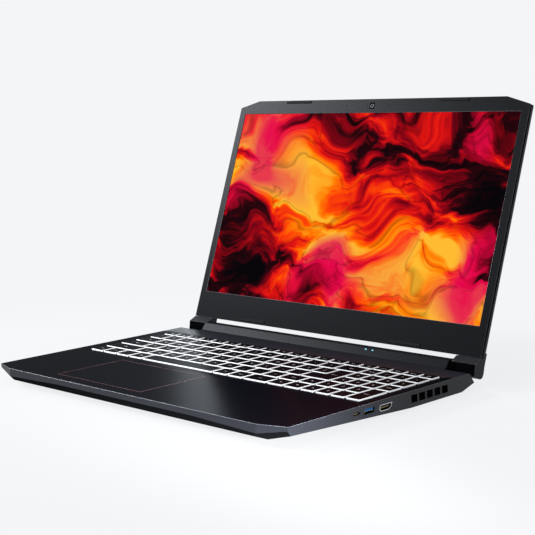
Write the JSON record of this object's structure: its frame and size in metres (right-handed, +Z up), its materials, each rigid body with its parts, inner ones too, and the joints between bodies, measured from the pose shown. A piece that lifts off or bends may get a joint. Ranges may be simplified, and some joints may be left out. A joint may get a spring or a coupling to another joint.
{
  "type": "laptop computer",
  "caption": "Opened clamshell laptop computer with a full keyboard and number pad, touchpad, folding display lid, cooling fans and ports.",
  "frame": {"origin": "on the surface it stands on, under the middle of the opened machine's box", "axes": "+X to the user's right along the width, +Y from the front edge to the rear, +Z up"},
  "size_m": [0.3634, 0.3368, 0.2477],
  "materials": {
    "shell_grey": "fine satin moulded plastic",
    "deck_satin": "satin coated plastic",
    "bar_grey": "fine satin moulded plastic",
    "grille_red": "satin moulded plastic",
    "foot_rubber": "matte",
    "screw_steel": "blackened",
    "plate_aluminium": "brushed",
    "membrane": "translucent film",
    "circuit_board": "solder mask",
    "chip": "polished silicon",
    "copper": "drawn copper",
    "fin_aluminium": "stamped sheet",
    "fan_plastic": "moulded plastic",
    "battery_wrap": "wrapped cells",
    "speaker_plastic": "moulded plastic",
    "port_metal": "plated sheet steel",
    "port_plastic": "moulded plastic",
    "hinge_steel": "turned steel",
    "bracket_steel": "stamped sheet steel",
    "indicator_light": "lit diffuser",
    "touchpad_plate": "satin smooth sheet",
    "lid_grey": "fine satin moulded plastic",
    "bezel_grey": "fine grained moulded plastic",
    "screen": "matte display film over a lit panel",
    "camera_glass": "gloss window",
    "bumper_rubber": "matte",
    "cable_wrap": "taped ribbon",
    "antenna_foil": "foil",
    "keycap": "satin moulded plastic"
  },
  "bodies": {
    "base": {"bottom_cover": "shell_grey", "palmrest_deck": "deck_satin", "hinge_bar_cover": "bar_grey", "rear_grilles": "grille_red", "rubber_feet": "foot_rubber", "bottom_screws": "screw_steel", "keyboard_plate": "plate_aluminium", "dome_sheet": "membrane", "motherboard": "circuit_board", "processors": "chip", "heat_pipes": "copper", "cooling_fins": "fin_aluminium", "left_fan_housing": "fan_plastic", "right_fan_housing": "fan_plastic", "battery_pack": "battery_wrap", "ssd_module": "circuit_board", "memory_modules": "circuit_board", "wireless_card": "circuit_board", "left_speaker": "speaker_plastic", "right_speaker": "speaker_plastic", "usb_c_port": "port_metal", "usb_a_port_right": "port_metal", "hdmi_port": "port_metal", "ethernet_port": "port_plastic", "usb_a_ports_left": "port_metal", "audio_jack": "port_plastic", "power_jack": "port_plastic", "hinge_shafts": "hinge_steel", "status_lights": "indicator_light", "touchpad_bracket": "bracket_steel"},
    "lid": {"lid_back_cover": "lid_grey", "lid_bezel": "bezel_grey", "lcd_panel": "screen", "webcam_module": "circuit_board", "camera_window": "camera_glass", "lid_hinge_arms": "hinge_steel", "lid_bumpers": "bumper_rubber", "display_cable": "cable_wrap", "wireless_antennas": "antenna_foil"},
    "touchpad_plate": {"touchpad": "touchpad_plate"},
    "left_fan": {"left_fan_rotor": "fan_plastic"},
    "right_fan": {"right_fan_rotor": "fan_plastic"},
    "space_keycap": {"space_bar": "keycap"},
    "enter_keycap": {"enter_key": "keycap"},
    "backspace_keycap": {"backspace_key": "keycap"},
    "tab_keycap": {"tab_key": "keycap"},
    "caps_lock_keycap": {"caps_lock_key": "keycap"},
    "left_shift_keycap": {"left_shift_key": "keycap"},
    "right_shift_keycap": {"right_shift_key": "keycap"},
    "numpad_enter_keycap": {"numpad_enter_key": "keycap"},
    "power_keycap": {"power_key": "keycap"},
    "arrow_keycap": {"arrow_keys": "keycap"},
    "function_row_keycap": {"function_row_keys": "keycap"},
    "number_row_keycap": {"number_row_keys": "keycap"},
    "upper_letter_keycap": {"upper_letter_keys": "keycap"},
    "home_letter_keycap": {"home_letter_keys": "keycap"},
    "lower_letter_keycap": {"lower_letter_keys": "keycap"},
    "modifier_keycap": {"modifier_keys": "keycap"},
    "numpad_keycap": {"numpad_keys": "keycap"}
  },
  "joints": [
    {"name": "lid_hinge", "type": "hinge", "parent": "base", "child": "lid", "pos_m": [0, 0.07736, 0.0168], "axis": [1, 0, 0], "range_deg": [-25, 109.8]},
    {"name": "touchpad_click", "type": "hinge", "parent": "base", "child": "touchpad_plate", "pos_m": [-0.0458, -0.08274, 0.0153], "axis": [1, 0, 0], "range_deg": [0, 0.3], "stiffness_Nm_per_rad": 24, "springref_deg": -0.06},
    {"name": "left_fan_spin", "type": "hinge", "parent": "base", "child": "left_fan", "pos_m": [-0.097, 0.01991, 0.007], "axis": [0, 0, 1], "continuous": true},
    {"name": "right_fan_spin", "type": "hinge", "parent": "base", "child": "right_fan", "pos_m": [0.097, 0.01991, 0.007], "axis": [0, 0, 1], "continuous": true},
    {"name": "space_bar_press", "type": "slide", "parent": "base", "child": "space_keycap", "axis": [0, 0, -1], "range_m": [0, 0.0013], "stiffness_N_per_m": 400, "springref_m": -0.001},
    {"name": "enter_press", "type": "slide", "parent": "base", "child": "enter_keycap", "axis": [0, 0, -1], "range_m": [0, 0.0013], "stiffness_N_per_m": 400, "springref_m": -0.001},
    {"name": "backspace_press", "type": "slide", "parent": "base", "child": "backspace_keycap", "axis": [0, 0, -1], "range_m": [0, 0.0013], "stiffness_N_per_m": 400, "springref_m": -0.001},
    {"name": "tab_press", "type": "slide", "parent": "base", "child": "tab_keycap", "axis": [0, 0, -1], "range_m": [0, 0.0013], "stiffness_N_per_m": 400, "springref_m": -0.001},
    {"name": "caps_lock_press", "type": "slide", "parent": "base", "child": "caps_lock_keycap", "axis": [0, 0, -1], "range_m": [0, 0.0013], "stiffness_N_per_m": 400, "springref_m": -0.001},
    {"name": "left_shift_press", "type": "slide", "parent": "base", "child": "left_shift_keycap", "axis": [0, 0, -1], "range_m": [0, 0.0013], "stiffness_N_per_m": 400, "springref_m": -0.001},
    {"name": "right_shift_press", "type": "slide", "parent": "base", "child": "right_shift_keycap", "axis": [0, 0, -1], "range_m": [0, 0.0013], "stiffness_N_per_m": 400, "springref_m": -0.001},
    {"name": "numpad_enter_press", "type": "slide", "parent": "base", "child": "numpad_enter_keycap", "axis": [0, 0, -1], "range_m": [0, 0.0013], "stiffness_N_per_m": 400, "springref_m": -0.001},
    {"name": "power_press", "type": "slide", "parent": "base", "child": "power_keycap", "axis": [0, 0, -1], "range_m": [0, 0.0013], "stiffness_N_per_m": 400, "springref_m": -0.001},
    {"name": "arrow_press", "type": "slide", "parent": "base", "child": "arrow_keycap", "axis": [0, 0, -1], "range_m": [0, 0.0013], "stiffness_N_per_m": 1600, "springref_m": -0.001},
    {"name": "function_row_press", "type": "slide", "parent": "base", "child": "function_row_keycap", "axis": [0, 0, -1], "range_m": [0, 0.0013], "stiffness_N_per_m": 2000, "springref_m": -0.001},
    {"name": "number_row_press", "type": "slide", "parent": "base", "child": "number_row_keycap", "axis": [0, 0, -1], "range_m": [0, 0.0013], "stiffness_N_per_m": 2000, "springref_m": -0.001},
    {"name": "upper_letter_press", "type": "slide", "parent": "base", "child": "upper_letter_keycap", "axis": [0, 0, -1], "range_m": [0, 0.0013], "stiffness_N_per_m": 2000, "springref_m": -0.001},
    {"name": "home_letter_press", "type": "slide", "parent": "base", "child": "home_letter_keycap", "axis": [0, 0, -1], "range_m": [0, 0.0013], "stiffness_N_per_m": 2000, "springref_m": -0.001},
    {"name": "lower_letter_press", "type": "slide", "parent": "base", "child": "lower_letter_keycap", "axis": [0, 0, -1], "range_m": [0, 0.0013], "stiffness_N_per_m": 2000, "springref_m": -0.001},
    {"name": "modifier_press", "type": "slide", "parent": "base", "child": "modifier_keycap", "axis": [0, 0, -1], "range_m": [0, 0.0013], "stiffness_N_per_m": 2000, "springref_m": -0.001},
    {"name": "numpad_press", "type": "slide", "parent": "base", "child": "numpad_keycap", "axis": [0, 0, -1], "range_m": [0, 0.0013], "stiffness_N_per_m": 2000, "springref_m": -0.001}
  ]
}
